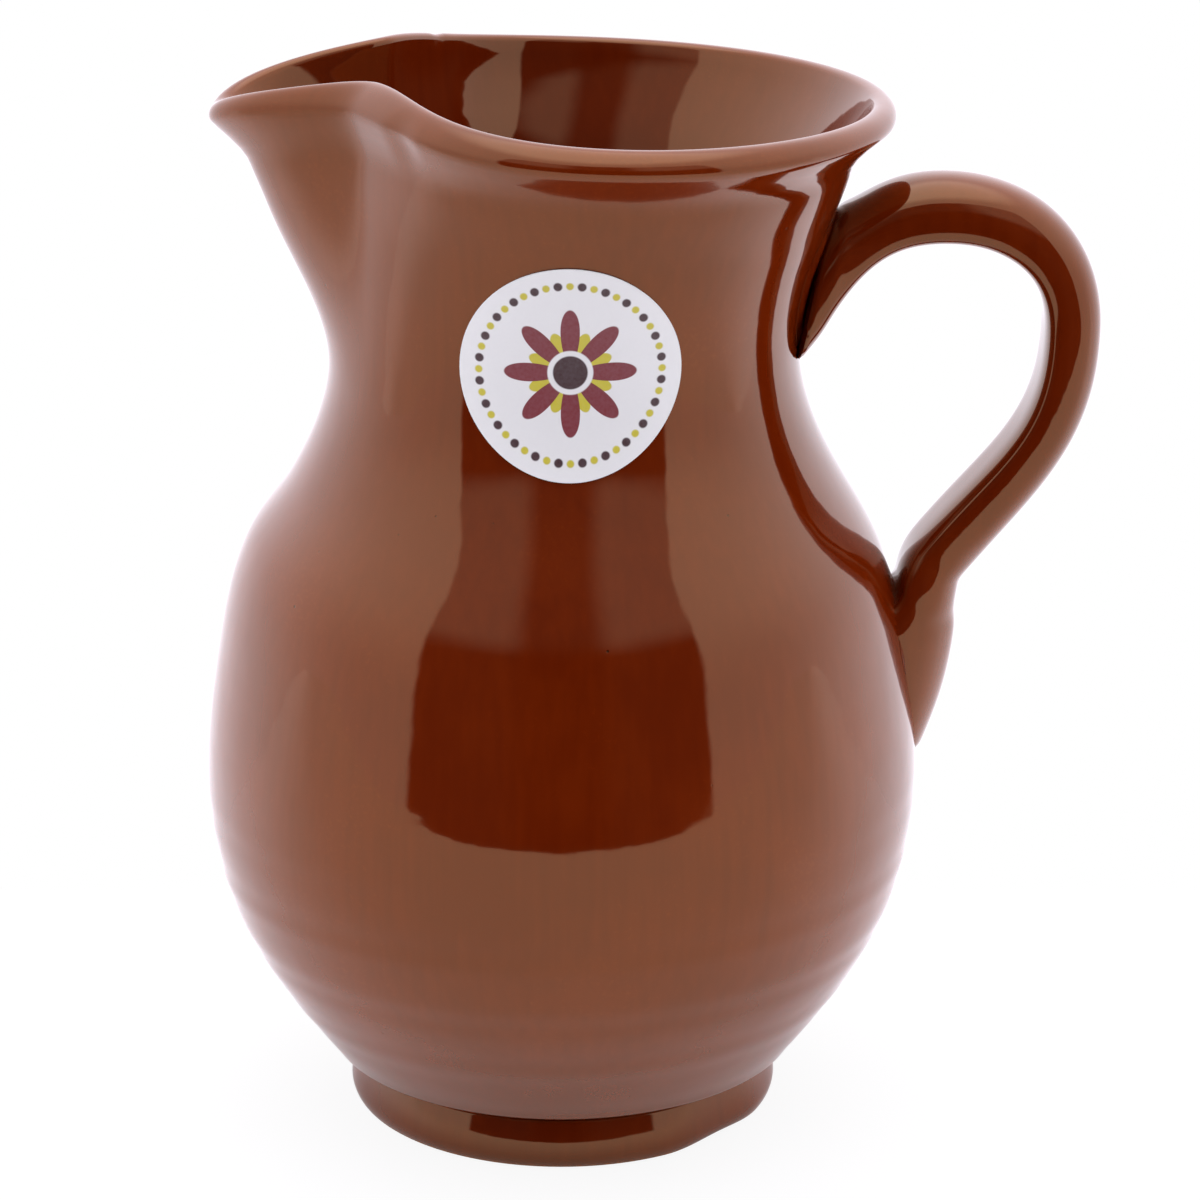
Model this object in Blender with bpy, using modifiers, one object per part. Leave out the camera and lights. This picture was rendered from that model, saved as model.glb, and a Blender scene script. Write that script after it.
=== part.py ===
"""Thrown ceramic jug: body, foot ring, pulled handle, the two slip joints that hold it, and a paper label.

Metres, +Z up. The origin is the middle of the flat base, on the wheel's axis.
The spout points to -X and the handle to +X.
"""
import bpy
import bmesh
from math import atan2, cos, cosh, hypot, pi, radians, sin, sqrt
import numpy as np
from mathutils import Vector
from mathutils.geometry import interpolate_bezier

# Body wall: each station rises from the one below it and has its own outer radius
BASE_RADIUS = 0.0360
BASE_EDGE = 0.0060
BASE_ROUNDING = 0.0010
HEEL_HEIGHT = 0.0132
HEEL_OVERHANG = 0.0109
HEEL_ROUNDING = 0.0010
BOWL_RISE = 0.0208
BOWL_RADIUS = 0.0612
BELLY_RISE = 0.0330
BELLY_RADIUS = 0.0698
CREST_RISE = 0.0290
CREST_RADIUS = 0.0667
SHOULDER_RISE = 0.0190
SHOULDER_RADIUS = 0.0616
COLLAR_RISE = 0.0160
COLLAR_RADIUS = 0.0525
WAIST_RISE = 0.0210
WAIST_RADIUS = 0.0452
NECK_RISE = 0.0260
NECK_RADIUS = 0.0502
FLARE_RISE = 0.0150
FLARE_RADIUS = 0.0570
LIP_RISE = 0.0090
LIP_RADIUS = 0.0596
LIP_BEAD = 0.0026
BEAD_INSIDE = radians(142)
BEAD_OUTSIDE = radians(-45)
WALL = 0.0050
LIP_WALL = 0.0040
FLOOR = 0.0090
FLOOR_RADIUS = 0.0200
FLOOR_SWEEP = 0.0130

# Mouth: the round lip is pinched in at both sides of the spout, which lifts it there
PINCH_ANGLE = radians(35)
PINCH_DEPTH = 0.0179
PINCH_SPREAD = radians(30.6)
PINCH_LIFT = 0.0063
LIFT_SPREAD = radians(24)
PINCH_FADE = 1.6
PINCH_BREADTH = 0.90
LIFT_FADE = 2.0
LIFT_BREADTH = 0.34
TIP_ROUNDING = 0.01
SPOUT_REACH = 0.0049
SPOUT_REACH_SHARE = 0.6
SPOUT_DIP = 0.0016
MOUTH_TILT = 0.0005
NECK_LEAN = 0.0012
WAIST_DIP = 0.0023

# Foot ring: a coil pressed round the base, widest low down and drawn in above and below
FOOT_COIL = 0.0067
FOOT_BULGE_HEIGHT = 0.0030
FOOT_SHOULDER = 0.0024
FOOT_TREAD_INSET = 0.0020
FOOT_BORE_ROUNDING = 0.0010

# Handle: heights are measured from the waist, reaches from the wall
ROOT_RISE = 0.0167
ROOT_STANDOFF = 0.0042
ROOT_THICKNESS = 0.0252
ROOT_WIDTH = 0.0290
ROOT_TILT = radians(-11)
ROOT_LEAVE = radians(52)
ROOT_EASE = 3.0
ARCH_RISE = 0.0288
ARCH_REACH = 0.0276
ARCH_THICKNESS = 0.0129
ARCH_WIDTH = 0.0190
FINGER_GAP = 0.0470
BOW_RISE = 0.0054
BOW_THICKNESS = 0.0111
BOW_WIDTH = 0.0185
LANDING_DROP = 0.0394
LANDING_STANDOFF = 0.0115
LANDING_THICKNESS = 0.0121
LANDING_WIDTH = 0.0185
LANDING_TILT = radians(-129)
SEAT_LENGTH = 0.0076
SEAT_STANDOFF = 0.0062
SEAT_THICKNESS = 0.0120
SEAT_WIDTH = 0.0205
SEAT_TILT = radians(-98)
PRESS_LENGTH = 0.0080
PRESS_STANDOFF = -0.0004
PRESS_THICKNESS = 0.0218
PRESS_WIDTH = 0.0255
PRESS_TILT = radians(-90)
PRESS_LEAVE = radians(-88)
TAIL_LENGTH = 0.0255
TAIL_STANDOFF = -0.0030
TAIL_THICKNESS = 0.0071
TAIL_WIDTH = 0.0120
TAIL_TILT = radians(-97)
TAIL_LEAVE = radians(-96)
TAIL_EASE = 1.2
BEND_REACH = 0.42
SLIP = 0.0008
SLIP_INSET = 0.0005

# Round paper label on the front of the neck
LABEL_DIAMETER = 0.0400
LABEL_RISE = 0.0080
LABEL_SIDE = 0.0022
PAPER = 0.0004

# Gap kept between touching pieces, and the fineness of the faceted surfaces
GAP = 0.0003
STEPS = 64
WALL_ROWS = 21
INNER_ROWS = 15
FLOOR_ROWS = 6
BEAD_ROWS = 9
FOOT_ROWS = 5
HANDLE_SIDES = 16
LABEL_SIDES = 48

HEEL_RADIUS = BASE_RADIUS + HEEL_OVERHANG
FOOT_RADIUS = BASE_RADIUS + FOOT_COIL
HEEL_Z = HEEL_HEIGHT
BOWL_Z = HEEL_Z + BOWL_RISE
BELLY_Z = BOWL_Z + BELLY_RISE
CREST_Z = BELLY_Z + CREST_RISE
SHOULDER_Z = CREST_Z + SHOULDER_RISE
COLLAR_Z = SHOULDER_Z + COLLAR_RISE
WAIST_Z = COLLAR_Z + WAIST_RISE
NECK_Z = WAIST_Z + NECK_RISE
FLARE_Z = NECK_Z + FLARE_RISE
LIP_Z = FLARE_Z + LIP_RISE


def natural_spline(heights, radii):
    """Return the natural cubic spline through the stations, as a function of height."""
    z = np.array(heights)
    r = np.array(radii)
    h = np.diff(z)
    rows = np.eye(len(z))
    right = np.zeros(len(z))
    for i in range(1, len(z) - 1):
        rows[i, i - 1:i + 2] = h[i - 1], 2 * (h[i - 1] + h[i]), h[i]
        right[i] = 6 * ((r[i + 1] - r[i]) / h[i] - (r[i] - r[i - 1]) / h[i - 1])
    bend = np.linalg.solve(rows, right)

    def radius(height):
        i = int(np.clip(np.searchsorted(z, height) - 1, 0, len(h) - 1))
        below = height - z[i]
        above = z[i + 1] - height
        cubic = (bend[i] * above ** 3 + bend[i + 1] * below ** 3) / (6 * h[i])
        lower = (r[i] / h[i] - bend[i] * h[i] / 6) * above
        upper = (r[i + 1] / h[i] - bend[i + 1] * h[i] / 6) * below
        return float(cubic + lower + upper)

    return radius


wall_radius = natural_spline(
    [HEEL_Z, BOWL_Z, BELLY_Z, CREST_Z, SHOULDER_Z, COLLAR_Z, WAIST_Z, NECK_Z, FLARE_Z],
    [HEEL_RADIUS, BOWL_RADIUS, BELLY_RADIUS, CREST_RADIUS, SHOULDER_RADIUS,
     COLLAR_RADIUS, WAIST_RADIUS, NECK_RADIUS, FLARE_RADIUS])


def wall_slope(height):
    """Return how fast the outer radius grows with height."""
    step = 0.0001
    return (wall_radius(height + step) - wall_radius(height - step)) / (2 * step)


def smoothstep(t):
    t = min(max(t, 0.0), 1.0)
    return t * t * (3 - 2 * t)


def inner_radius(height):
    """Return the radius inside the wall, which thins towards the lip and is measured square to itself."""
    wall = WALL + (LIP_WALL - WALL) * smoothstep((height - WAIST_Z) / (FLARE_Z - WAIST_Z))
    return wall_radius(height) - wall * sqrt(1 + wall_slope(height) ** 2)


def outer_wall(offset):
    """Return (radius, height) points down the outer wall, moved out square to it by the offset."""
    points = []
    for height in np.linspace(FLARE_Z, HEEL_Z, WALL_ROWS):
        slope = wall_slope(height)
        out = offset / sqrt(1 + slope * slope)
        points.append((wall_radius(height) + out, height - out * slope))
    return points


def lip_lift(lobe):
    """Return the share of the lift from the spout's rounded tip, where lobe is 0, to the pinch, where it is 1."""
    low = TIP_ROUNDING ** LIFT_BREADTH
    high = (1 + TIP_ROUNDING) ** LIFT_BREADTH
    return ((lobe + TIP_ROUNDING) ** LIFT_BREADTH - low) / (high - low)


def pull_spout(mesh):
    """Lean the neck, sag the waist under the spout, pinch the lip beside the spout and draw the spout out."""
    for vertex in mesh.vertices:
        x, y, z = vertex.co
        radius = hypot(x, y)
        side = atan2(y, x)
        angle = atan2(abs(y), -x)
        lean = NECK_LEAN * smoothstep((z - CREST_Z) / (LIP_Z - CREST_Z))
        below_flare = smoothstep((FLARE_Z - z) / (FLARE_Z - WAIST_Z))
        above_shoulder = smoothstep((z - SHOULDER_Z) / (COLLAR_Z - SHOULDER_Z))
        height = z - WAIST_DIP * max(0.0, cos(angle)) ** 2 * below_flare * above_shoulder
        share = max(0.0, z - WAIST_Z) / (LIP_Z - WAIST_Z)
        beyond = angle - PINCH_ANGLE
        if beyond < 0:
            lobe = 0.5 - 0.5 * cos(pi * angle / PINCH_ANGLE)
            pinch = lobe ** PINCH_BREADTH
            lift = lip_lift(lobe)
            drawn = 1 - pinch
        else:
            pinch = 1 / cosh(beyond / PINCH_SPREAD)
            lift = 1 / cosh(beyond / LIFT_SPREAD)
            drawn = 0.0
        reach = SPOUT_REACH * drawn * smoothstep(share / SPOUT_REACH_SHARE)
        radius += reach - PINCH_DEPTH * pinch * share ** PINCH_FADE
        rise = PINCH_LIFT * lift - SPOUT_DIP * drawn - MOUTH_TILT * x / LIP_RADIUS
        height += rise * share ** LIFT_FADE
        vertex.co = (radius * cos(side) + lean, radius * sin(side), height)


for old in list(bpy.data.objects):
    bpy.data.objects.remove(old, do_unlink=True)

jug = bpy.data.collections.new("ceramic_jug")
cutters = bpy.data.collections.new("cutters")
bpy.context.scene.collection.children.link(jug)
bpy.context.scene.collection.children.link(cutters)

axis = bpy.data.objects.new("wheel_axis", None)
axis.empty_display_size = BASE_RADIUS
jug.objects.link(axis)


def finish_material(name, colour, roughness):
    material = bpy.data.materials.new(name)
    material.use_nodes = True
    shader = material.node_tree.nodes["Principled BSDF"]
    shader.inputs["Base Color"].default_value = (*colour, 1.0)
    shader.inputs["Roughness"].default_value = roughness
    shader.inputs["Metallic"].default_value = 0.0
    return material


glaze = finish_material("honey_glaze", (0.150, 0.015, 0.001), 0.06)
slip_glaze = finish_material("slip_glaze", (0.110, 0.012, 0.001), 0.12)
paper = finish_material("label_paper", (0.80, 0.80, 0.79), 0.45)


def place(name, mesh, material):
    """Make a part of a mesh whose place is already in its points."""
    mesh.name = name
    mesh.materials.clear()
    mesh.materials.append(material)
    mesh.shade_smooth()
    mesh.set_sharp_from_angle(angle=radians(40))
    part = bpy.data.objects.new(name, mesh)
    part.parent = axis
    jug.objects.link(part)
    return part


def triangulate(mesh):
    """Split the faces into flat triangles, so that a Boolean meets no bent face."""
    work = bmesh.new()
    work.from_mesh(mesh)
    bmesh.ops.triangulate(work, faces=work.faces)
    work.to_mesh(mesh)
    work.free()
    return mesh


def guide(name, mesh):
    """Make a cutter, which is not a part."""
    mesh.name = name
    cutter = bpy.data.objects.new(name, mesh)
    cutter.hide_render = True
    cutter.display_type = 'WIRE'
    cutters.objects.link(cutter)
    return cutter


def turn(profile, closed=False):
    """Spin a (radius, height) profile round the wheel's axis and return the closed mesh."""
    wire = bpy.data.meshes.new("profile")
    edges = [(i, i + 1) for i in range(len(profile) - 1)]
    if closed:
        edges.append((len(profile) - 1, 0))
    wire.from_pydata([(radius, 0.0, height) for radius, height in profile], edges, [])
    turned = bpy.data.objects.new("profile", wire)
    bpy.context.scene.collection.objects.link(turned)
    screw = turned.modifiers.new("wheel", 'SCREW')
    screw.axis = 'Z'
    screw.steps = STEPS
    screw.render_steps = STEPS
    screw.use_merge_vertices = True
    screw.merge_threshold = 0.00001
    evaluated = turned.evaluated_get(bpy.context.evaluated_depsgraph_get())
    mesh = bpy.data.meshes.new_from_object(evaluated)
    bpy.data.objects.remove(turned, do_unlink=True)
    work = bmesh.new()
    work.from_mesh(mesh)
    bmesh.ops.recalc_face_normals(work, faces=work.faces)
    work.to_mesh(mesh)
    work.free()
    return mesh


def boolean(part, operation, cutter):
    modifier = part.modifiers.new(cutter.name, 'BOOLEAN')
    modifier.operation = operation
    modifier.solver = 'EXACT'
    modifier.object = cutter


def wall_form(name, offset):
    """Return a solid cutter whose side lies the offset outside the jug's wall."""
    side = outer_wall(offset)
    mesh = turn([(0.0, side[0][1])] + side + [(0.0, side[-1][1])])
    pull_spout(mesh)
    return guide(name, triangulate(mesh))


# Body: floor and inner wall, over the lip, down the outer wall, and under the heel to the flat base
sweep_top = HEEL_Z + FLOOR_SWEEP
sweep_run = sweep_top - FLOOR
inner_slope = (inner_radius(sweep_top + WALL) - inner_radius(sweep_top)) / WALL
floor_corner = inner_radius(sweep_top) - inner_slope * sweep_run
body_profile = [(0.0, FLOOR)]
for t in np.linspace(0.0, 1.0, FLOOR_ROWS)[:-1]:
    near = (1 - t) ** 2
    middle = 2 * t * (1 - t)
    far = t * t
    radius = near * FLOOR_RADIUS + middle * floor_corner + far * inner_radius(sweep_top)
    body_profile.append((radius, FLOOR + far * sweep_run))
for height in np.linspace(sweep_top, FLARE_Z - WALL, INNER_ROWS):
    body_profile.append((inner_radius(height), height))
for turn_angle in np.linspace(BEAD_INSIDE, BEAD_OUTSIDE, BEAD_ROWS):
    bead_radius = LIP_RADIUS + LIP_BEAD * cos(turn_angle)
    body_profile.append((bead_radius, LIP_Z - LIP_BEAD + LIP_BEAD * sin(turn_angle)))
body_profile += outer_wall(0.0)
body_profile += [(HEEL_RADIUS - HEEL_ROUNDING, HEEL_Z - HEEL_ROUNDING), (BASE_RADIUS, BASE_EDGE)]
body_profile += [(BASE_RADIUS, BASE_ROUNDING), (BASE_RADIUS - BASE_ROUNDING, 0.0), (0.0, 0.0)]
body_mesh = turn(body_profile)
pull_spout(body_mesh)
place("body", body_mesh, glaze)

# Foot ring: a coil seated in the corner between the base's edge and the underside of the heel
ring_bore = BASE_RADIUS + GAP
under_rise = (HEEL_Z - HEEL_ROUNDING - BASE_EDGE) / (HEEL_RADIUS - HEEL_ROUNDING - BASE_RADIUS)
under_gap = GAP * sqrt(1 + under_rise ** 2)


def under_heel(radius):
    """Return the height of the ring's seat at a radius."""
    return BASE_EDGE + under_rise * (radius - BASE_RADIUS) - under_gap


ring_top = FOOT_RADIUS - FOOT_SHOULDER
tread_edge = FOOT_RADIUS - FOOT_TREAD_INSET
shoulder_rise = under_heel(ring_top) - FOOT_BULGE_HEIGHT
ring_profile = [(ring_bore, under_heel(ring_bore))]
for bulge_angle in np.linspace(pi / 2, 0.0, FOOT_ROWS):
    bulge_radius = ring_top + FOOT_SHOULDER * cos(bulge_angle)
    ring_profile.append((bulge_radius, FOOT_BULGE_HEIGHT + shoulder_rise * sin(bulge_angle)))
for tread_angle in np.linspace(0.0, pi / 2, FOOT_ROWS)[1:]:
    tread_radius = tread_edge + FOOT_TREAD_INSET * cos(tread_angle)
    ring_profile.append((tread_radius, FOOT_BULGE_HEIGHT * (1 - sin(tread_angle))))
ring_profile += [(ring_bore + FOOT_BORE_ROUNDING, 0.0), (ring_bore, FOOT_BORE_ROUNDING)]
place("foot_ring", turn(ring_profile, closed=True), glaze)

# Handle: oval sections along a bow in the plane Y = 0, from the neck over the arch to a tail on the belly
root_z = WAIST_Z + ROOT_RISE
landing_z = WAIST_Z - LANDING_DROP
seat_z = landing_z - SEAT_LENGTH
press_z = seat_z - PRESS_LENGTH
tail_z = press_z - TAIL_LENGTH
root = Vector((wall_radius(root_z) + ROOT_STANDOFF, 0.0, root_z))
arch = Vector((WAIST_RADIUS + ARCH_REACH, 0.0, WAIST_Z + ARCH_RISE))
bow = Vector((WAIST_RADIUS + FINGER_GAP + BOW_THICKNESS / 2, 0.0, WAIST_Z + BOW_RISE))
landing = Vector((wall_radius(landing_z) + LANDING_STANDOFF, 0.0, landing_z))
seat = Vector((wall_radius(seat_z) + SEAT_STANDOFF, 0.0, seat_z))
press = Vector((wall_radius(press_z) + PRESS_STANDOFF, 0.0, press_z))
tail = Vector((wall_radius(tail_z) + TAIL_STANDOFF, 0.0, tail_z))
anchor = root - Vector((WALL, 0.0, WALL))


def ease_out(t):
    return 1 - (1 - t) ** ROOT_EASE


def ease_in(t):
    return t ** TAIL_EASE


def knot(place_at, heading, leave, thickness, width, sections=0, ease=smoothstep):
    """Gather a section: its middle, which way it faces, its curve's direction, its sizes and its run."""
    return dict(at=place_at, heading=heading, leave=leave, size=(thickness, width),
                sections=sections, ease=ease)


knots = [
    knot(anchor, ROOT_TILT, ROOT_LEAVE, ROOT_THICKNESS + WALL / 2, ROOT_WIDTH + WALL, 2),
    knot(root, ROOT_TILT, ROOT_LEAVE, ROOT_THICKNESS, ROOT_WIDTH, 8, ease_out),
    knot(arch, 0.0, 0.0, ARCH_THICKNESS, ARCH_WIDTH, 10),
    knot(bow, -pi / 2, -pi / 2, BOW_THICKNESS, BOW_WIDTH, 10),
    knot(landing, LANDING_TILT, LANDING_TILT, LANDING_THICKNESS, LANDING_WIDTH, 4),
    knot(seat, SEAT_TILT, SEAT_TILT, SEAT_THICKNESS, SEAT_WIDTH, 4),
    knot(press, PRESS_TILT, PRESS_LEAVE, PRESS_THICKNESS, PRESS_WIDTH, 7, ease_in),
    knot(tail, TAIL_TILT, TAIL_LEAVE, TAIL_THICKNESS, TAIL_WIDTH)]


def heading_vector(angle):
    return Vector((cos(angle), 0.0, sin(angle)))


def handle_sections(first, last, margin):
    """Return rings of points along the knots from first to last, made larger all round by the margin."""
    rings = []
    for index in range(first, last):
        here = knots[index]
        there = knots[index + 1]
        count = here["sections"]
        reach = (there["at"] - here["at"]).length * BEND_REACH
        start = here["at"] + heading_vector(here["leave"]) * reach
        stop = there["at"] - heading_vector(there["leave"]) * reach
        middles = interpolate_bezier(here["at"], start, stop, there["at"], count + 1)
        for step in range(0 if index == first else 1, count + 1):
            t = step / count
            ease = here["ease"](t)
            heading = here["heading"] + (there["heading"] - here["heading"]) * smoothstep(t)
            thickness = here["size"][0] + (there["size"][0] - here["size"][0]) * ease + 2 * margin
            width = here["size"][1] + (there["size"][1] - here["size"][1]) * ease + 2 * margin
            across = Vector((-sin(heading), 0.0, cos(heading)))
            middle = middles[step]
            if index == last - 1 and step == count:
                middle = middle + heading_vector(heading) * margin
            ring = []
            for side in range(HANDLE_SIDES):
                angle = 2 * pi * (side + 0.5) / HANDLE_SIDES
                point = middle + across * (thickness / 2 * cos(angle))
                ring.append(point + Vector((0.0, width / 2 * sin(angle), 0.0)))
            rings.append(ring)
    return rings


def loft(rings):
    """Bridge rings of points in order, cap both ends and return the closed mesh."""
    mesh = bpy.data.meshes.new("loft")
    work = bmesh.new()
    loops = [[work.verts.new(point) for point in ring] for ring in rings]
    for lower, upper in zip(loops, loops[1:]):
        for side in range(len(lower)):
            beside = (side + 1) % len(lower)
            work.faces.new((lower[side], lower[beside], upper[beside], upper[side]))
    work.faces.new(loops[0])
    work.faces.new(loops[-1])
    bmesh.ops.recalc_face_normals(work, faces=work.faces)
    work.to_mesh(mesh)
    work.free()
    return triangulate(mesh)


skin_form = wall_form("wall_skin", GAP)
slip_form = wall_form("slip_skin", GAP + SLIP)
handle_form = wall_form("handle_seat", GAP + SLIP + GAP)
handle = place("handle", loft(handle_sections(0, len(knots) - 1, 0.0)), glaze)
boolean(handle, 'DIFFERENCE', handle_form)

# Slip: the wet clay that lutes each end of the handle to the wall, wiped back from the handle's edge;
# the upper one runs from the anchor to the arch, and the lower one from the landing to the tail
for slip_name, first, last in (("upper_slip", 0, 2), ("lower_slip", 4, 7)):
    slip = place(slip_name, loft(handle_sections(first, last, -SLIP_INSET)), slip_glaze)
    boolean(slip, 'INTERSECT', slip_form)
    boolean(slip, 'DIFFERENCE', skin_form)

# Label: a round of paper that follows the neck's wall
bpy.ops.mesh.primitive_cylinder_add(vertices=LABEL_SIDES, radius=LABEL_DIAMETER / 2, depth=BELLY_RADIUS)
bpy.context.object.rotation_euler = (pi / 2, 0.0, 0.0)
bpy.context.object.location = (LABEL_SIDE, -WAIST_RADIUS, WAIST_Z + LABEL_RISE)
bpy.ops.object.transform_apply(location=True, rotation=True)
label_blank = bpy.context.object
label_mesh = label_blank.data.copy()
bpy.data.objects.remove(label_blank, do_unlink=True)
label = place("paper_label", label_mesh, paper)
paper_form = wall_form("paper_skin", GAP + PAPER)
boolean(label, 'INTERSECT', paper_form)
boolean(label, 'DIFFERENCE', skin_form)
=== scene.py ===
from collections import namedtuple
from math import atan2, cos, cosh, hypot, pi, radians, sin, sqrt

import bmesh
import bpy
import numpy as np
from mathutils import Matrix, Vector
from mathutils.geometry import interpolate_bezier


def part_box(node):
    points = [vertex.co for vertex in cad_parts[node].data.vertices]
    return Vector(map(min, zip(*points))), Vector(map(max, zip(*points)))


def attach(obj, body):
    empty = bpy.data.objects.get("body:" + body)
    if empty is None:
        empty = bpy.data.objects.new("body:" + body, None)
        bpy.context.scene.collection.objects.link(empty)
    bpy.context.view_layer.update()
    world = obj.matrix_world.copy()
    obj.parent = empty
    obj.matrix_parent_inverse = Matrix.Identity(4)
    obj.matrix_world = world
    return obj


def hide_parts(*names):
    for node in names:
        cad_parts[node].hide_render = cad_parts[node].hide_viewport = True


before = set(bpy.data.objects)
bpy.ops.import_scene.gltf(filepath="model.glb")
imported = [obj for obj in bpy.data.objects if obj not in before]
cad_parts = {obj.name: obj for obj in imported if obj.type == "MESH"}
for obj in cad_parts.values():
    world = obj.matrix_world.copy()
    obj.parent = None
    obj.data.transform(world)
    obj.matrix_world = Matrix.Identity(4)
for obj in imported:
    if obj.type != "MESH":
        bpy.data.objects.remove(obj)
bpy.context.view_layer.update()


# Body: one pot of red clay, thrown on the wheel and drawn in to a waist under a wide mouth.
# The lip is rolled to a bead and pinched on both sides, which lifts it there and pulls the spout out.
# It is dipped whole in a honey-brown glaze, which thins a little on the ridges that the fingers left.
belly_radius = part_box("body")[1].y
wall_stations = [
    (0.0132, 0.0469),        # heel
    (0.0340, 0.0612),        # bowl
    (0.0670, belly_radius),  # belly
    (0.0960, 0.0667),        # crest
    (0.1150, 0.0616),        # shoulder
    (0.1310, 0.0525),        # collar
    (0.1520, 0.0452),        # waist
    (0.1780, 0.0502),        # neck
    (0.1920, 0.0554),        # flare
]
heel_z, heel_radius = wall_stations[0]
crest_z = wall_stations[3][0]
shoulder_z = wall_stations[4][0]
collar_z = wall_stations[5][0]
waist_z, waist_radius = wall_stations[6]
neck_z = wall_stations[7][0]
flare_z = wall_stations[8][0]
base_radius = 0.0360
base_edge = 0.0077
edge_rounding = 0.0010
wall_thickness = 0.0050
lip_wall = 0.0040
floor_thickness = 0.0090
floor_radius = 0.0200
floor_sweep = 0.0130
lip_z = 0.2020
lip_radius = 0.0596
lip_bead = 0.0026
lip_inside = radians(142)
lip_outside = radians(-45)
pole_radius = 0.0030
base_rings = (0.35, 0.70)
floor_ring = 0.6
edge_start = 1.5 * edge_rounding
edge_middle = 0.3 * edge_rounding
heel_rows = 5
wall_rows = 72
bead_rows = 13
inner_rows = 48
sweep_rows = 10
body_sides = 128

pinch_angle = radians(35)
pinch_depth = 0.0179
pinch_spread = radians(30.6)
pinch_lift = 0.0063
lift_spread = radians(24)
pinch_fade = 1.6
pinch_breadth = 0.90
lift_fade = 2.0
lift_breadth = 0.34
tip_rounding = 0.01
spout_reach = 0.0049
reach_share = 0.6
spout_dip = 0.0016
mouth_tilt = 0.0005
neck_lean = 0.0012
waist_dip = 0.0023
lip_fill = 0.0013
fill_spread = radians(140)
fill_fade = 2 * lip_bead


def natural_spline(stations):
    """Return the smooth radius through (height, radius) stations, as a function of height."""
    z, r = np.array(stations).T
    h = np.diff(z)
    rows = np.eye(len(z))
    right = np.zeros(len(z))
    for i in range(1, len(z) - 1):
        rows[i, i - 1:i + 2] = h[i - 1], 2 * (h[i - 1] + h[i]), h[i]
        right[i] = 6 * ((r[i + 1] - r[i]) / h[i] - (r[i] - r[i - 1]) / h[i - 1])
    bend = np.linalg.solve(rows, right)

    def radius(height):
        i = int(np.clip(np.searchsorted(z, height) - 1, 0, len(h) - 1))
        below = height - z[i]
        above = z[i + 1] - height
        cubic = (bend[i] * above ** 3 + bend[i + 1] * below ** 3) / (6 * h[i])
        lower = (r[i] / h[i] - bend[i] * h[i] / 6) * above
        upper = (r[i + 1] / h[i] - bend[i + 1] * h[i] / 6) * below
        return float(cubic + lower + upper)

    return radius


wall_radius = natural_spline(wall_stations)


def wall_slope(height):
    step = 0.0001
    return (wall_radius(height + step) - wall_radius(height - step)) / (2 * step)


def smoothstep(t):
    t = min(max(t, 0.0), 1.0)
    return t * t * (3 - 2 * t)


def inner_radius(height):
    """Return the radius inside the wall, whose thickness is square to it and less towards the lip."""
    thinned = smoothstep((height - waist_z) / (flare_z - waist_z))
    wall = wall_thickness + (lip_wall - wall_thickness) * thinned
    return wall_radius(height) - wall * sqrt(1 + wall_slope(height) ** 2)


def lip_lift(lobe):
    """Return the share of the lift from the spout's rounded tip, at 0, to the pinch, at 1."""
    low = tip_rounding ** lift_breadth
    high = (1 + tip_rounding) ** lift_breadth
    return ((lobe + tip_rounding) ** lift_breadth - low) / (high - low)


def pull_spout(mesh):
    """Lean the neck and sag the waist, draw the spout out between two pinches, and fill out the wall
    under the lip, most in front and behind."""
    for vertex in mesh.vertices:
        x, y, z = vertex.co
        radius = hypot(x, y)
        side = atan2(y, x)
        angle = atan2(abs(y), -x)
        lean = neck_lean * smoothstep((z - crest_z) / (lip_z - crest_z))
        below_flare = smoothstep((flare_z - z) / (flare_z - waist_z))
        above_shoulder = smoothstep((z - shoulder_z) / (collar_z - shoulder_z))
        height = z - waist_dip * max(0.0, cos(angle)) ** 2 * below_flare * above_shoulder
        share = max(0.0, z - waist_z) / (lip_z - waist_z)
        beyond = angle - pinch_angle
        if beyond < 0:
            lobe = 0.5 - 0.5 * cos(pi * angle / pinch_angle)
            pinch = lobe ** pinch_breadth
            lift = lip_lift(lobe)
            drawn = 1 - pinch
        else:
            pinch = 1 / cosh(beyond / pinch_spread)
            lift = 1 / cosh(beyond / lift_spread)
            drawn = 0.0
        radius += spout_reach * drawn * smoothstep(share / reach_share)
        under_bead = smoothstep((z - neck_z) / (flare_z - neck_z)) * smoothstep((lip_z - z) / fill_fade)
        off_spout = smoothstep(1 - abs(angle - pi / 2) / fill_spread)
        radius += lip_fill * under_bead * off_spout
        radius -= pinch_depth * pinch * share ** pinch_fade
        rise = pinch_lift * lift - spout_dip * drawn - mouth_tilt * x / lip_radius
        height += rise * share ** lift_fade
        vertex.co = (radius * cos(side) + lean, radius * sin(side), height)


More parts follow.
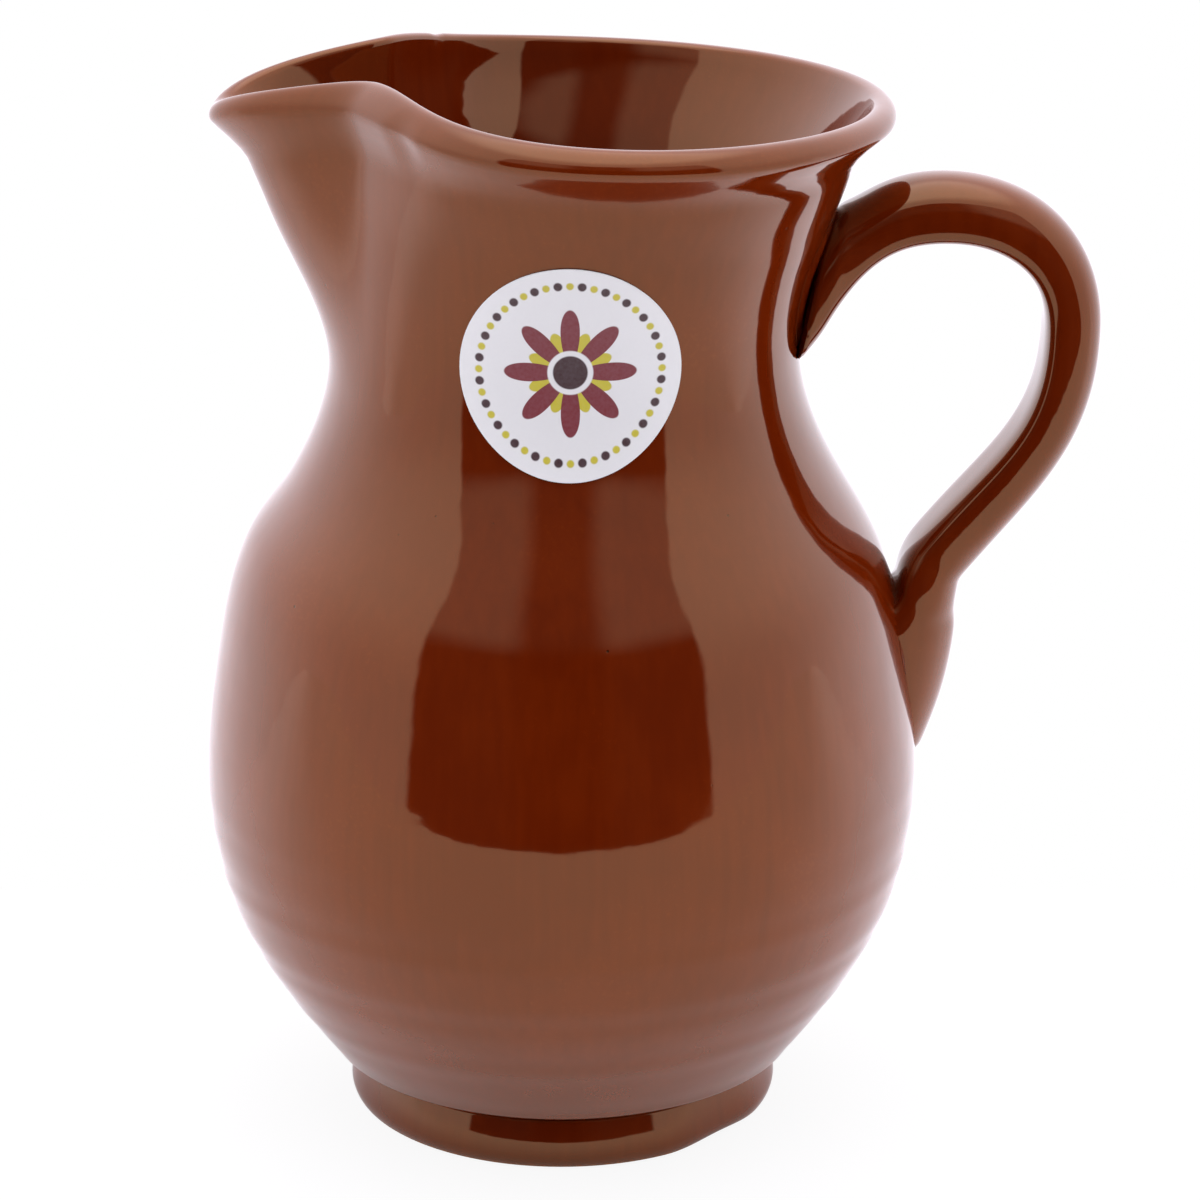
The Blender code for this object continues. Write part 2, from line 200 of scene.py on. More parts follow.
def throw(name, profile, sides, closed=False):
    """Draw a ring of clay through a (radius, height) profile and return the closed piece."""
    bpy.ops.object.select_all(action='DESELECT')
    first_radius, first_height = profile[0]
    start = (0.0, 0.0, first_height)
    bpy.ops.mesh.primitive_circle_add(vertices=sides, radius=first_radius, location=start)
    bpy.ops.object.transform_apply(location=True)
    pot = bpy.context.object
    pot.name = name
    pot.data.name = name
    bpy.ops.object.mode_set(mode='EDIT')
    bpy.ops.mesh.select_all(action='SELECT')
    for (last_radius, last_height), (radius, height) in zip(profile, profile[1:]):
        rise = {"value": (0.0, 0.0, height - last_height)}
        bpy.ops.mesh.extrude_region_move(TRANSFORM_OT_translate=rise)
        grow = radius / last_radius
        bpy.ops.transform.resize(value=(grow, grow, 1.0), center_override=(0.0, 0.0, height))
    if closed:
        bpy.ops.mesh.select_all(action='SELECT')
        bpy.ops.mesh.region_to_loop()
        bpy.ops.mesh.bridge_edge_loops()
    else:
        bpy.ops.mesh.extrude_region_move()
        bpy.ops.mesh.merge(type='CENTER')
        bpy.ops.mesh.select_all(action='SELECT')
        bpy.ops.mesh.region_to_loop()
        bpy.ops.mesh.extrude_region_move()
        bpy.ops.mesh.merge(type='CENTER')
    bpy.ops.mesh.select_all(action='SELECT')
    bpy.ops.mesh.normals_make_consistent(inside=False)
    bpy.ops.object.mode_set(mode='OBJECT')
    return pot


def refine(piece, levels):
    """Apply a Subdivision Surface to the piece, which is selected alone."""
    bpy.ops.object.select_all(action='DESELECT')
    piece.select_set(True)
    bpy.context.view_layer.objects.active = piece
    smooth = piece.modifiers.new("refine", 'SUBSURF')
    smooth.levels = levels
    smooth.render_levels = levels
    bpy.ops.object.modifier_apply(modifier=smooth.name)
    bpy.ops.object.shade_smooth()


base_profile = [(pole_radius, 0.0)]
for ring in base_rings:
    base_profile.append((base_radius * ring, 0.0))
base_profile += [(base_radius - edge_start, 0.0), (base_radius - edge_middle, edge_middle)]
base_profile += [(base_radius, edge_start), (base_radius, base_edge - edge_rounding)]
heel_profile = []
for share in np.linspace(0.0, 1.0, heel_rows):
    under_radius = base_radius + (heel_radius - edge_rounding - base_radius) * share
    heel_profile.append((under_radius, base_edge + (heel_z - edge_rounding - base_edge) * share))
heel_profile.append((heel_radius - edge_middle, heel_z - 2 * edge_middle))
outer_profile = [(wall_radius(height), height) for height in np.linspace(heel_z, flare_z, wall_rows)]
lip_profile = []
for roll in np.linspace(lip_outside, lip_inside, bead_rows):
    lip_profile.append((lip_radius + lip_bead * cos(roll), lip_z - lip_bead + lip_bead * sin(roll)))
sweep_top = heel_z + floor_sweep
inner_profile = []
for height in np.linspace(flare_z - wall_thickness, sweep_top, inner_rows):
    inner_profile.append((inner_radius(height), height))
sweep_run = sweep_top - floor_thickness
inner_slope = (inner_radius(sweep_top + wall_thickness) - inner_radius(sweep_top)) / wall_thickness
floor_corner = inner_radius(sweep_top) - inner_slope * sweep_run
floor_profile = []
for t in np.linspace(1.0, 0.0, sweep_rows)[1:]:
    swept = (1 - t) ** 2 * floor_radius + 2 * t * (1 - t) * floor_corner
    swept += t * t * inner_radius(sweep_top)
    floor_profile.append((swept, floor_thickness + t * t * sweep_run))
floor_profile += [(floor_radius * floor_ring, floor_thickness), (pole_radius, floor_thickness)]

outside_profile = base_profile + heel_profile + outer_profile + lip_profile
body = throw("thrown_body", outside_profile + inner_profile + floor_profile, body_sides)
refine(body, 1)

ridge_depth = 0.000055
ridge_pitch = 0.0086
ridge_top = 0.078
ridge_fade = 0.030
ridge_start = 6 * edge_rounding
ridge_least = 0.12
slow_strength, slow_pace, slow_start = 0.6, 0.37, 1.3
quick_strength, quick_pace, quick_start = 0.4, 1.63, 0.4
for vertex in body.data.vertices:
    x, y, z = vertex.co
    if z < heel_z or hypot(x, y) < floor_radius:
        continue
    side = atan2(y, x)
    climb = 2 * pi * z / ridge_pitch - side
    slow_wave = slow_strength * sin(climb * slow_pace + slow_start)
    quick_wave = quick_strength * sin(climb * quick_pace + quick_start + sin(side))
    ridge = sin(climb) + slow_wave + quick_wave
    fade = smoothstep((ridge_top - z) / ridge_fade) * smoothstep((z - heel_z) / ridge_start)
    scale = 1 + ridge_depth * (ridge_least + fade) * ridge / hypot(x, y)
    vertex.co.x = x * scale
    vertex.co.y = y * scale
pull_spout(body.data)


def dent(piece, centre, reach, depth):
    """Press the surface in round a point, as a finger does, fading out over the reach."""
    pressed = []
    for vertex in piece.data.vertices:
        away = (vertex.co - centre).length
        if away < reach:
            pressed.append((vertex, vertex.normal * (depth * smoothstep(1 - away / reach))))
    for vertex, push in pressed:
        vertex.co -= push


finger_mark = Vector((-0.0276, -0.0385, 0.2005))
finger_reach = 0.0065
finger_depth = 0.0007
dent(body, finger_mark, finger_reach, finger_depth)
rim_nick = Vector((-0.0246, 0.0366, 0.2062))
nick_reach = 0.0030
nick_depth = 0.0003
dent(body, rim_nick, nick_reach, nick_depth)


class Wire:
    """An output socket of a node tree. Arithmetic on it adds Math nodes to the tree."""

    def __init__(self, tree, socket=None):
        self.tree = tree
        self.socket = socket

    def node(self, kind, settings, sockets, output=0):
        """Add a node, set it, feed its sockets and wrap one of its outputs."""
        made = self.tree.nodes.new(kind)
        for name, value in settings.items():
            setattr(made, name, value)
        for name, value in sockets.items():
            if isinstance(value, Wire):
                self.tree.links.new(value.socket, made.inputs[name])
            else:
                made.inputs[name].default_value = value
        return Wire(self.tree, made.outputs[output])

    def maths(self, operation, *terms):
        return self.node('ShaderNodeMath', {"operation": operation}, dict(enumerate(terms)))

    def __add__(self, other):
        return self.maths('ADD', self, other)

    def __sub__(self, other):
        return self.maths('SUBTRACT', self, other)

    def __mul__(self, other):
        return self.maths('MULTIPLY', self, other)

    def __truediv__(self, other):
        return self.maths('DIVIDE', self, other)

    def __pow__(self, other):
        return self.maths('POWER', self, other)

    def __radd__(self, other):
        return self.maths('ADD', other, self)

    def __rsub__(self, other):
        return self.maths('SUBTRACT', other, self)

    def __rmul__(self, other):
        return self.maths('MULTIPLY', other, self)

    def __rtruediv__(self, other):
        return self.maths('DIVIDE', other, self)

    def __abs__(self):
        return self.maths('ABSOLUTE', self)

    def ramp(self, low, high):
        """Return 0 below low and 1 above high, with a soft step between; high may be the smaller."""
        soft = {"interpolation_type": 'SMOOTHSTEP'}
        rising = {"Value": self, "From Min": low, "From Max": high}
        falling = {"Value": self, "From Min": high, "From Max": low, "To Min": 1.0, "To Max": 0.0}
        return self.node('ShaderNodeMapRange', soft, rising if low < high else falling)

    def choose(self, off, on):
        """Return the colour off where this is 0, and the colour on where it is 1."""
        return self.node('ShaderNodeMix', {"data_type": 'RGBA'}, {0: self, 6: off, 7: on}, output=2)

    def place(self, centre=(0.0, 0.0, 0.0), stretch=(1.0, 1.0, 1.0)):
        """Return Object coordinates, taken from a centre and then stretched."""
        point = self.node('ShaderNodeTexCoord', {}, {}, output="Object")
        shift = tuple(-c * s for c, s in zip(centre, stretch))
        return self.node('ShaderNodeMapping', {}, {"Vector": point, "Location": shift, "Scale": stretch})

    def cloud(self, size, detail=2.0, centre=(0.0, 0.0, 0.0), stretch=(1.0, 1.0, 1.0)):
        """Return soft noise whose blotches are about the size given, in metres."""
        where = {"Vector": self.place(centre, stretch), "Scale": 1 / size, "Detail": detail}
        return self.node('ShaderNodeTexNoise', {}, where)

    def axes(self):
        """Split a vector into its three parts."""
        split = self.node('ShaderNodeSeparateXYZ', {}, {"Vector": self})
        return [Wire(self.tree, output) for output in split.socket.node.outputs]


def new_finish(name):
    """Make a material and return it with its tree's wire and its Principled shader."""
    material = bpy.data.materials.new(name)
    material.use_nodes = True
    return material, Wire(material.node_tree), material.node_tree.nodes["Principled BSDF"]


def feed(shader, **sockets):
    """Link wires to a shader's sockets, or set them; the names are spelled with underscores."""
    for name, value in sockets.items():
        target = shader.inputs[name.replace("_", " ")]
        if isinstance(value, Wire):
            value.tree.links.new(value.socket, target)
        else:
            target.default_value = value


honey = (0.130, 0.0130, 0.0006, 1.0)
deep_honey = (0.107, 0.0094, 0.0004, 1.0)
thin_honey = (0.158, 0.0195, 0.0011, 1.0)
pit_brown = (0.030, 0.0060, 0.0012, 1.0)
amber_sheen = (1.0, 0.66, 0.36, 1.0)
bare_clay = (0.330, 0.120, 0.048, 1.0)
scraped_clay = (0.230, 0.075, 0.028, 1.0)
wiped_height = 0.0007
wiped_raggedness = 0.0006
glaze_ior = 1.76
cloud_size = 0.030
run_width = 0.0022
run_stretch = (1.0, 1.0, 0.06)
grain_size = 0.0009
pits_per_metre = 150.0
pit_patch = 0.012
wire_lines_per_metre = 130.0
ripple_size = 0.011
fine_ripple_size = 0.0035
ripple_height = 0.0004


def honey_glaze(name):
    """Return glossy honey glaze: clouded, streaked, pitted and rippled, and wiped off what stands."""
    material, wire, shader = new_finish(name)
    clouds = wire.cloud(cloud_size, 3.0)
    runs = wire.cloud(run_width, 2.0, stretch=run_stretch)
    grain = wire.cloud(grain_size, 1.0)
    body_colour = (clouds * 0.7 + runs * 0.3).ramp(0.36, 0.66).choose(deep_honey, honey)
    thin = (clouds * 0.5 + grain * 0.5).ramp(0.58, 0.72)
    body_colour = (thin * 0.5).choose(body_colour, thin_honey)
    cell_sockets = {"Vector": wire.place(), "Scale": pits_per_metre}
    cells = wire.node('ShaderNodeTexVoronoi', {}, cell_sockets, output="Distance")
    pits = cells.ramp(0.055, 0.030) * wire.cloud(pit_patch, 1.0).ramp(0.56, 0.64)
    glazed = pits.choose(body_colour, pit_brown)
    _, _, up = wire.place().axes()
    bare = (up + (grain - 0.5) * wiped_raggedness).ramp(1.3 * wiped_height, 0.7 * wiped_height)
    cut_sockets = {"Vector": wire.place(), "Scale": wire_lines_per_metre, "Distortion": 5.0,
                   "Detail": 1.0, "Detail Scale": 0.3}
    wire_cut = wire.node('ShaderNodeTexWave', {}, cut_sockets, output="Fac")
    clay_colour = (wire_cut * 0.5 + grain * 0.5).ramp(0.35, 0.65).choose(scraped_clay, bare_clay)
    colour = bare.choose(glazed, clay_colour)
    ripple = wire.cloud(ripple_size, 1.0) * 0.8 + wire.cloud(fine_ripple_size, 1.0) * 0.12 - pits * 0.3
    relief = ripple + bare * (wire_cut * 0.8 + grain * 0.4 - ripple)
    bump_sockets = {"Strength": 0.25, "Distance": ripple_height, "Height": relief}
    height = wire.node('ShaderNodeBump', {}, bump_sockets)
    roughness = 0.03 + 0.04 * clouds + bare * 0.75
    feed(shader, Base_Color=colour, Roughness=roughness, Normal=height)
    feed(shader, IOR=glaze_ior, Specular_Tint=amber_sheen)
    return material


body.data.materials.append(honey_glaze("body_glaze"))
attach(body, "root")
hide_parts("body")


# Foot ring: a coil of the same clay pressed round the base and smoothed on the wheel, low and round.
# It is glazed with the body, and its tread is wiped to bare clay where it stands.
foot_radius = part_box("foot_ring")[1].x
foot_bulge = 0.0030
foot_lean = 0.0014
foot_shoulder = 0.0006
tread_inset = 0.0016
flank_curve = 1.4
tread_rows = 8
flank_rows = 5
shoulder_rows = 5
seat_rows = 4
seat_gap = 0.0001
foot_bore = base_radius + seat_gap
under_rise = (heel_z - edge_rounding - base_edge) / (heel_radius - edge_rounding - base_radius)
shoulder_radius = foot_radius - foot_lean - foot_shoulder
foot_top = base_edge + under_rise * (shoulder_radius - base_radius) - seat_gap
flank_top = foot_top - foot_shoulder
foot_profile = [(foot_bore, edge_rounding), (foot_bore + edge_middle, edge_middle)]
foot_profile += [(foot_bore + edge_start, 0.0), (foot_radius - tread_inset - edge_rounding, 0.0)]
for turn in np.linspace(pi / 2, 0.0, tread_rows):
    tread_radius = foot_radius - tread_inset + tread_inset * cos(turn)
    foot_profile.append((tread_radius, foot_bulge * (1 - sin(turn))))
for rise in np.linspace(0.0, 1.0, flank_rows)[1:]:
    flank_radius = foot_radius - foot_lean * rise ** flank_curve
    foot_profile.append((flank_radius, foot_bulge + (flank_top - foot_bulge) * rise))
for turn in np.linspace(0.0, pi / 2, shoulder_rows)[1:]:
    rounded_radius = shoulder_radius + foot_shoulder * cos(turn)
    foot_profile.append((rounded_radius, flank_top + foot_shoulder * sin(turn)))
for inward in np.linspace(1.0, 0.0, seat_rows)[1:]:
    seat_radius = foot_bore + (shoulder_radius - foot_bore) * inward
    foot_profile.append((seat_radius, base_edge + under_rise * (seat_radius - base_radius) - seat_gap))
foot = throw("foot_coil", foot_profile, body_sides, closed=True)
refine(foot, 1)

knock = radians(-42)
knock_at = Vector((foot_radius * cos(knock), foot_radius * sin(knock), foot_bulge / 2))
knock_reach = 0.0140
knock_depth = 0.0009
dent(foot, knock_at, knock_reach, knock_depth)
foot.data.materials.append(honey_glaze("foot_glaze"))
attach(foot, "root")
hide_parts("foot_ring")


# Handle: a strap of clay pulled by hand to a taper and bent over into a bow.
# Its thick root is luted to the neck, and its tail is pressed down on the shoulder of the belly.
root_rise = 0.0167
root_stand = 0.0042
root_thickness = 0.0252
root_width = 0.0250
arch_rise = 0.0288
arch_reach = 0.0276
bow_rise = 0.0054
bow_thickness = 0.0111
finger_gap = 0.0470
landing_drop = 0.0394
landing_stand = 0.0115
seat_length = 0.0076
seat_stand = 0.0062
press_length = 0.0080
press_sink = 0.0004
tail_length = 0.0255
tail_sink = 0.0030
root_z = waist_z + root_rise
landing_z = waist_z - landing_drop
seat_z = landing_z - seat_length
press_z = seat_z - press_length
tail_z = press_z - tail_length
root_at = Vector((wall_radius(root_z) + root_stand, 0.0, root_z))
arch_at = Vector((waist_radius + arch_reach, 0.0, waist_z + arch_rise))
bow_at = Vector((waist_radius + finger_gap + bow_thickness / 2, 0.0, waist_z + bow_rise))
landing_at = Vector((wall_radius(landing_z) + landing_stand, 0.0, landing_z))
seat_at = Vector((wall_radius(seat_z) + seat_stand, 0.0, seat_z))
press_at = Vector((wall_radius(press_z) - press_sink, 0.0, press_z))
tail_at = Vector((wall_radius(tail_z) - tail_sink, 0.0, tail_z))
anchor_at = root_at - Vector((wall_thickness, 0.0, wall_thickness))
root_ease = 3.0
tail_ease = 1.2
bend_reach = 0.42


def ease_out(t):
    return 1 - (1 - t) ** root_ease


def ease_in(t):
    return t ** tail_ease


# Each stage has its middle, the tilt of its section and the strap's direction in degrees, its sizes, the
# sections up to the next stage and how the sizes ease towards it. The sizes are thickness, width, roundness
# of the outside and where the ridge along each side lies, from -1 inside to 1 outside.
Stage = namedtuple("Stage", "at tilt leave sizes sections ease")
strap_stages = [
    Stage(anchor_at, -11, 52, (0.0277, 0.0270, 2.1, -0.20), 2, smoothstep),
    Stage(root_at, -11, 52, (root_thickness, root_width, 2.3, -0.20), 10, ease_out),
    Stage(arch_at, 0, 0, (0.0129, 0.0190, 2.2, -0.40), 12, smoothstep),
    Stage(bow_at, -90, -90, (bow_thickness, 0.0185, 2.3, -0.40), 12, smoothstep),
    Stage(landing_at, -129, -129, (0.0121, 0.0185, 2.2, -0.15), 5, smoothstep),
    Stage(seat_at, -98, -98, (0.0120, 0.0215, 2.2, -0.60), 5, smoothstep),
    Stage(press_at, -90, -88, (0.0218, 0.0245, 1.9, -0.35), 10, ease_in),
    Stage(tail_at, -97, -96, (0.0071, 0.0125, 1.6, 0.0), 0, smoothstep),
]
handle_sides = 32
inner_round = 3.6


def heading(degrees):
    angle = radians(degrees)
    return Vector((cos(angle), 0.0, sin(angle)))


def strap_sections():
    """Return (middle, tilt, thickness, width, roundness, ridge) for each section along the strap."""
    sections = []
    for here, there in zip(strap_stages, strap_stages[1:]):
        reach = (there.at - here.at).length * bend_reach
        start = here.at + heading(here.leave) * reach
        stop = there.at - heading(there.leave) * reach
        middles = interpolate_bezier(here.at, start, stop, there.at, here.sections + 1)
        for step in range(1 if sections else 0, here.sections + 1):
            t = step / here.sections
            turned = radians(here.tilt + (there.tilt - here.tilt) * smoothstep(t))
            eased = []
            for size, next_size in zip(here.sizes, there.sizes):
                eased.append(size + (next_size - size) * here.ease(t))
            sections.append((middles[step], turned, *eased))
    return sections


def set_section(piece, middle, tilt, thickness, width, outer_round, ridge):
    """Move the selected ring to a section. The turn of each point is its angle round the strap."""
    work = bmesh.from_edit_mesh(piece.data)
    turn = work.verts.layers.float["turn"]
    across = Vector((-sin(tilt), 0.0, cos(tilt)))
    for vertex in work.verts:
        if vertex.select:
            angle = vertex[turn]
            outside = cos(angle) > 0
            power = 2 / (outer_round if outside else inner_round)
            run = 1 - ridge if outside else -1 - ridge
            out = ridge + run * abs(cos(angle)) ** power
            side = abs(sin(angle)) ** power * (1 if sin(angle) > 0 else -1)
            vertex.co = middle + across * (thickness / 2 * out) + Vector((0.0, width / 2 * side, 0.0))
    bmesh.update_edit_mesh(piece.data)


bpy.ops.object.select_all(action='DESELECT')
bpy.ops.mesh.primitive_circle_add(vertices=handle_sides, radius=root_width / 2)
handle = bpy.context.object
handle.name = "pulled_handle"
handle.data.name = "pulled_handle"
turn_of = handle.data.attributes.new("turn", 'FLOAT', 'POINT')
for index in range(handle_sides):
    turn_of.data[index].value = 2 * pi * (index + 0.5) / handle_sides
bpy.ops.object.mode_set(mode='EDIT')
bpy.ops.mesh.select_all(action='SELECT')
strap = strap_sections()
set_section(handle, *strap[0])
for section in strap[1:]:
    bpy.ops.mesh.extrude_region_move()
    set_section(handle, *section)
bpy.ops.mesh.select_all(action='SELECT')
bpy.ops.mesh.region_to_loop()
bpy.ops.mesh.edge_face_add()
bpy.ops.mesh.select_all(action='SELECT')
bpy.ops.mesh.normals_make_consistent(inside=False)
bpy.ops.object.mode_set(mode='OBJECT')
refine(handle, 2)

trim_rows = 60
crease_angle = radians(40)


def trim_to_wall(piece, offset):
    """Cut away what lies nearer to the jug's wall than the offset."""
    side = []
    for height in np.linspace(heel_z, flare_z, trim_rows):
        out = offset / sqrt(1 + wall_slope(height) ** 2)
        side.append((wall_radius(height) + out, height - out * wall_slope(height)))
    block = throw("wall_block", side, body_sides)
    pull_spout(block.data)
    bpy.ops.object.select_all(action='DESELECT')
    piece.select_set(True)
    bpy.context.view_layer.objects.active = piece
    cut = piece.modifiers.new("trim", 'BOOLEAN')
    cut.operation = 'DIFFERENCE'
    cut.solver = 'EXACT'
    cut.object = block
    bpy.ops.object.modifier_apply(modifier=cut.name)
    bpy.data.objects.remove(block, do_unlink=True)
    bpy.ops.object.shade_smooth_by_angle(angle=crease_angle)


thumb_mark = landing_at + Vector((0.0032, -0.0060, 0.0015))
thumb_reach = 0.0045
thumb_depth = 0.0004
dent(handle, thumb_mark, thumb_reach, thumb_depth)
joint_sink = 0.0003
trim_to_wall(handle, -joint_sink)
handle.data.materials.append(honey_glaze("handle_glaze"))
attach(handle, "root")
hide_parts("handle")


# Slip: wet clay that lutes the handle's root to the neck and its tail to the belly.
# It is wiped off round the joint and shows as a thin smear with a feathered edge, glazed with the rest.
slip_thickness = 0.0006
slip_edge = 0.05
slip_margin = 0.0012
slip_wobble = 0.0004
slip_waves = ((1.0, 5, 0.6), (0.7, 11, 2.0))  # strength, count round the joint and start of each
slip_stand = 0.00003
slip_points = 96
slip_span = 24
slip_lump = 0.004
lump_height = 0.0005
slip_joints = (("slip_at_root", "upper_slip", 0.10), ("slip_at_tail", "lower_slip", 0.45))


def press_on_wall(piece, stand, axis, thickness, edge=1.0):
    """Lay a flat piece on the body along an axis and thicken it outwards, less towards its edge."""
    bpy.ops.object.select_all(action='DESELECT')
    piece.select_set(True)
    bpy.context.view_layer.objects.active = piece
    lay = piece.modifiers.new("lay", 'SHRINKWRAP')
    lay.target = body
    lay.wrap_method = 'PROJECT'
    lay.wrap_mode = 'ABOVE_SURFACE'
    lay.use_project_x = axis == 'X'
    lay.use_project_y = axis == 'Y'
    lay.use_negative_direction = True
    lay.use_positive_direction = True
    lay.offset = stand
    bpy.ops.object.modifier_apply(modifier=lay.name)
    thick = piece.modifiers.new("thick", 'SOLIDIFY')
    thick.thickness = thickness
    thick.offset = 1.0
    if "middle" in piece.vertex_groups:
        thick.vertex_group = "middle"
        thick.thickness_vertex_group = edge
    bpy.ops.object.modifier_apply(modifier=thick.name)
    bpy.ops.object.shade_smooth_by_angle(angle=crease_angle)


def slip_glaze(name):
    """Return the lumpy glaze over the wiped slip."""
    material, wire, shader = new_finish(name)
    clouds = wire.cloud(slip_lump, 3.0)
    colour = clouds.ramp(0.4, 0.65).choose(deep_honey, honey)
    lump_sockets = {"Strength": 0.4, "Distance": lump_height, "Height": clouds}
    lumps = wire.node('ShaderNodeBump', {}, lump_sockets)
    feed(shader, Base_Color=colour, Roughness=0.05 + 0.10 * clouds, Normal=lumps)
    feed(shader, IOR=glaze_ior, Specular_Tint=amber_sheen)
    return material


for slip_name, node, narrowing in slip_joints:
    low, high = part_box(node)
    middle = (low + high) / 2
    half_width = (high.y - low.y) / 2 + slip_margin
    half_height = (high.z - low.z) / 2 + slip_margin
    bpy.ops.object.select_all(action='DESELECT')
    bpy.ops.mesh.primitive_circle_add(vertices=slip_points, radius=1.0)
    slip = bpy.context.object
    slip.name = slip_name
    slip.data.name = slip_name
    bpy.ops.object.mode_set(mode='EDIT')
    bpy.ops.mesh.select_all(action='SELECT')
    bpy.ops.mesh.fill_grid(span=slip_span)
    bpy.ops.object.mode_set(mode='OBJECT')
    pad = slip.vertex_groups.new(name="middle")
    for vertex in slip.data.vertices:
        across, up, _ = vertex.co
        from_edge = 1 - hypot(across, up)
        pad.add([vertex.index], smoothstep(from_edge * half_width / (2 * slip_margin)), 'REPLACE')
        round_joint = atan2(up, across)
        waves = [strength * sin(count * round_joint + start) for strength, count, start in slip_waves]
        wobble = slip_wobble * sum(waves) * (1 - from_edge)
        taper = 1 - narrowing * smoothstep(0.5 - up)
        vertex.co = (high.x + half_width, middle.y + across * taper * (half_width + wobble),
                     middle.z + up * (half_height + wobble))
    press_on_wall(slip, slip_stand, 'X', slip_thickness, slip_edge)
    slip.data.materials.append(slip_glaze(slip_name + "_glaze"))
    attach(slip, "root")
    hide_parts(node)


# Label: a round of coated white paper, die-cut and stuck on the front of the neck by its own glue.
# It is printed in maroon, mustard and dark brown with a rosette inside a ring of dots.
label_low, label_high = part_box("paper_label")
label_middle = (label_low + label_high) / 2
label_radius = (label_high.x - label_low.x) / 2
paper_thickness = 0.00018
paper_stand = 0.00012
paper_points = 128
paper_span = 32
held_off = 0.0050
held_at = (label_middle.x, label_low.y - held_off, label_middle.z)
bpy.ops.object.select_all(action='DESELECT')
bpy.ops.mesh.primitive_circle_add(vertices=paper_points, radius=label_radius, location=held_at,
                                  rotation=(pi / 2, 0.0, 0.0))
label = bpy.context.object
label.name = "round_label"
label.data.name = "round_label"
bpy.ops.object.transform_apply(location=True, rotation=True)
bpy.ops.object.mode_set(mode='EDIT')
bpy.ops.mesh.select_all(action='SELECT')
bpy.ops.mesh.fill_grid(span=paper_span)
bpy.ops.mesh.normals_make_consistent(inside=False)
bpy.ops.object.mode_set(mode='OBJECT')
press_on_wall(label, paper_stand, 'Y', paper_thickness)

white_paper = (0.84, 0.84, 0.82, 1.0)
maroon = (0.200, 0.012, 0.020, 1.0)
mustard = (0.600, 0.520, 0.020, 1.0)
umber = (0.045, 0.008, 0.010, 1.0)
fibre_grey = (0.62, 0.62, 0.66, 1.0)
print_blur = 0.008
petal_count = 8
eye_ring = 0.200
eye = 0.150
eye_blur = 0.015
dot_count = 24
dot_ring = 0.83
fibre_size = 0.0006
crease_size = 0.006
crease_height = 0.0004
label_paper, paper_wire, paper_shader = new_finish("printed_paper")
across, _, up = paper_wire.place(centre=label_middle, stretch=(1 / label_radius,) * 3).axes()
spread = (across * across + up * up) ** 0.5
bearing = paper_wire.maths('ARCTAN2', up, across)


def petals(count, reach, turned, fullness):
    """Return a mask of petals round the middle of the label."""
    wave = abs(paper_wire.maths('COSINE', bearing * (count / 2) + turned)) ** fullness
    return (wave * reach - spread).ramp(-print_blur, print_blur)


def dots(count, ring, size, turned):
    """Return a mask of round dots on a ring."""
    along = paper_wire.maths('FRACT', bearing * (count / (2 * pi)) + turned) - 0.5
    off = spread - ring
    reach = along * (2 * pi * ring / count)
    return ((reach * reach + off * off) ** 0.5).ramp(size + print_blur, size - print_blur)


printed = petals(petal_count, 0.40, pi / 2, 0.7).choose(white_paper, mustard)
printed = petals(petal_count, 0.60, 0.0, 0.9).choose(printed, maroon)
printed = spread.ramp(eye_ring + eye_blur, eye_ring).choose(printed, white_paper)
printed = spread.ramp(eye + eye_blur, eye).choose(printed, umber)
printed = dots(dot_count, dot_ring, 0.040, 0.0).choose(printed, umber)
printed = dots(dot_count, dot_ring, 0.034, 0.5).choose(printed, mustard)
fibre = paper_wire.cloud(fibre_size, 2.0)
printed = (fibre * 0.10).choose(printed, fibre_grey)
creases = paper_wire.cloud(crease_size, 2.0) * 0.7 + fibre * 0.05
crease_sockets = {"Strength": 0.25, "Distance": crease_height, "Height": creases}
crease_bump = paper_wire.node('ShaderNodeBump', {}, crease_sockets)
feed(paper_shader, Base_Color=printed, Roughness=0.42 + 0.10 * fibre, Normal=crease_bump)
label.data.materials.append(label_paper)
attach(label, "root")
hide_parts("paper_label")


# Studio: the jug stands on a narrow white table in a white tent, which is open on the camera's side.
# The darker room shows in the glaze through the opening, above and below the front edge of the table.
table_front = -0.415
table_back = 0.100
table_reach = 3.0
table_drop = 0.0001
table_tone = (0.92, 0.92, 0.92, 1.0)
table_seen = 0.90
table_mirrored = 0.70
bpy.ops.object.select_all(action='DESELECT')
bpy.ops.mesh.primitive_plane_add(size=1.0)
table = bpy.context.object
table.name = "white_table"
for vertex in table.data.vertices:
    vertex.co.x *= 2 * table_reach
    vertex.co.y = table_front if vertex.co.y < 0 else table_back
    vertex.co.z = -table_drop
table_white, table_wire, table_shader = new_finish("table_white")
rays = table_wire.node('ShaderNodeLightPath', {}, {}).socket.node.outputs
seen = Wire(table_wire.tree, rays["Is Camera Ray"])
mirrored = table_wire.maths('MAXIMUM', Wire(table_wire.tree, rays["Is Glossy Ray"]),
                            Wire(table_wire.tree, rays["Is Transmission Ray"]))
_, depth, _ = table_wire.place().axes()
in_front = depth.ramp(0.06, -0.12)
plain_white = table_wire.maths('MAXIMUM', seen * table_seen, mirrored * (table_mirrored * in_front))
feed(table_shader, Base_Color=table_tone, Roughness=0.9, Specular_IOR_Level=0.0)
glow = table_wire.node('ShaderNodeEmission', {}, {"Strength": 1.0})
shaded = Wire(table_wire.tree, table_shader.outputs[0])
shared = table_wire.node('ShaderNodeMixShader', {}, {0: plain_white, 1: shaded, 2: glow})
table_output = table_white.node_tree.nodes["Material Output"]
table_wire.tree.links.new(shared.socket, table_output.inputs["Surface"])
table.data.materials.append(table_white)

